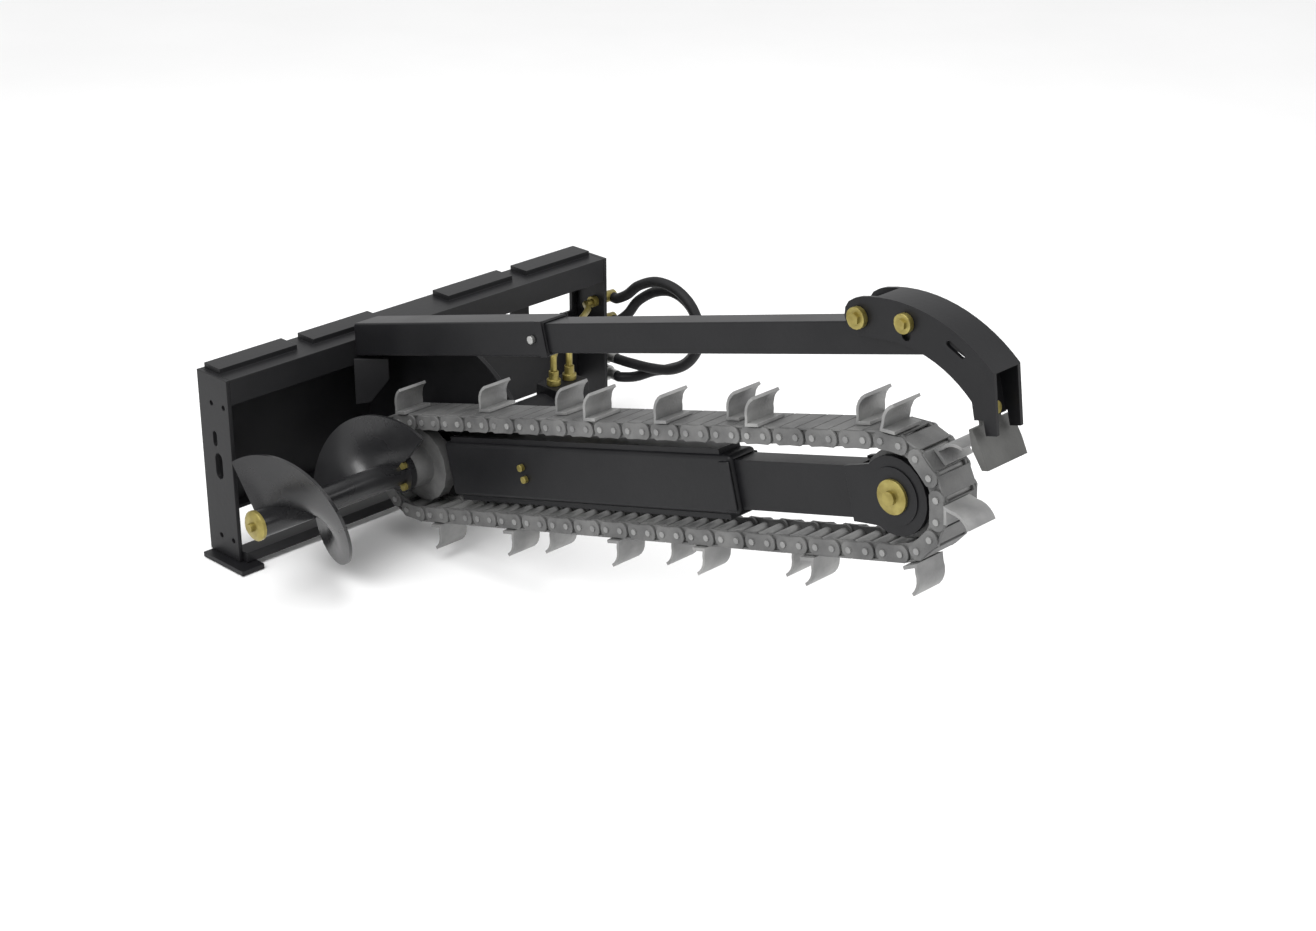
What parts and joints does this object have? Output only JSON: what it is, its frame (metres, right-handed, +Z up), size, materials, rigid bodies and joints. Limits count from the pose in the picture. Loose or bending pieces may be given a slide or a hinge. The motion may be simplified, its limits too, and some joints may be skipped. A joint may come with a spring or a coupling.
{
  "type": "trencher attachment",
  "caption": "Chain trencher attachment: mounting frame, hydraulic head, spoil auger, telescoping digging boom with cup cutter chain, and a crumber arm.",
  "frame": {"origin": "centre of the rear face of the mounting frame's back plate", "axes": "+X forward over the boom, +Y along the head shaft towards the hydraulic motor, +Z up"},
  "size_m": [1.8935, 1.3563, 0.9397],
  "materials": {
    "frame_paint": "satin black paint",
    "boom_paint": "satin black paint",
    "auger_paint": "gloss black paint",
    "chain_steel": "dull oiled steel",
    "cutter_steel": "bare forged steel",
    "zinc_yellow": "yellow zinc plating",
    "drive_paint": "matt black paint",
    "hose_rubber": "matt black rubber",
    "shoe_steel": "worn grey paint",
    "bright_steel": "bright machined steel"
  },
  "bodies": {
    "frame": {"back_plate": "frame_paint", "left_end_plate": "frame_paint", "right_end_plate": "frame_paint", "top_rail": "frame_paint", "bottom_rail": "frame_paint", "left_foot": "frame_paint", "crumber_gusset": "frame_paint", "boom_side_plate": "boom_paint", "gearbox": "drive_paint", "hydraulic_motor": "drive_paint", "motor_fitting_a": "zinc_yellow", "motor_fitting_b": "zinc_yellow", "hard_line_a": "zinc_yellow", "hard_line_b": "zinc_yellow", "bulkhead_a": "zinc_yellow", "bulkhead_b": "zinc_yellow", "hose_a": "hose_rubber", "hose_b": "hose_rubber", "coupler_a": "bright_steel", "coupler_b": "bright_steel", "coupler_holder": "frame_paint", "boom_tube": "boom_paint", "adjuster_bolt_1": "zinc_yellow", "adjuster_bolt_2": "zinc_yellow", "digging_chain": "chain_steel", "cup_cutter_01": "cutter_steel", "cup_cutter_02": "cutter_steel", "cup_cutter_03": "cutter_steel", "cup_cutter_04": "cutter_steel", "cup_cutter_05": "cutter_steel", "cup_cutter_06": "cutter_steel", "cup_cutter_07": "cutter_steel", "cup_cutter_08": "cutter_steel", "cup_cutter_09": "cutter_steel", "cup_cutter_10": "cutter_steel", "cup_cutter_11": "cutter_steel", "cup_cutter_12": "cutter_steel", "cup_cutter_13": "cutter_steel", "cup_cutter_14": "cutter_steel", "cup_cutter_15": "cutter_steel", "cup_cutter_16": "cutter_steel", "cup_cutter_17": "cutter_steel", "cup_cutter_18": "cutter_steel", "cup_cutter_19": "cutter_steel", "cup_cutter_20": "cutter_steel", "crumber_sleeve": "boom_paint", "sleeve_bolt": "bright_steel"},
    "head_group": {"head_shaft": "bright_steel", "drive_sprocket": "chain_steel", "spoil_auger": "auger_paint", "auger_end_cap": "zinc_yellow"},
    "boom_slider": {"boom_extension": "boom_paint", "nose_pin": "zinc_yellow"},
    "nose_wheel": {"nose_idler": "chain_steel"},
    "crumber_slider": {"crumber_bar": "boom_paint", "crumber_pivot_bolt": "zinc_yellow", "crumber_slot_bolt": "zinc_yellow"},
    "arm": {"crumber_arm": "boom_paint", "shoe_bolt": "zinc_yellow"},
    "shoe": {"crumber_shoe": "shoe_steel"}
  },
  "joints": [
    {"name": "head_spin", "type": "hinge", "parent": "frame", "child": "head_group", "pos_m": [0.296, 0, -0.036], "axis": [0, 1, 0], "continuous": true},
    {"name": "boom_tension", "type": "slide", "parent": "frame", "child": "boom_slider", "axis": [0.965, 0, 0.2622], "range_m": [-0.04, 0]},
    {"name": "nose_spin", "type": "hinge", "parent": "boom_slider", "child": "nose_wheel", "pos_m": [1.67404, -0.1815, 0.33841], "axis": [0, 1, 0], "continuous": true},
    {"name": "crumber_slide", "type": "slide", "parent": "frame", "child": "crumber_slider", "axis": [0.965, 0, 0.2622], "range_m": [0, 0.15]},
    {"name": "crumber_pivot", "type": "hinge", "parent": "crumber_slider", "child": "arm", "pos_m": [1.57656, -0.1815, 0.65906], "axis": [0, -1, 0], "range_deg": [0, 12]},
    {"name": "shoe_slide", "type": "slide", "parent": "arm", "child": "shoe", "axis": [-0.2622, 0, 0.965], "range_m": [-0.036, 0]}
  ],
  "couplings": [
    {"joint": "nose_spin", "follows": "head_spin", "ratio": 1}
  ]
}
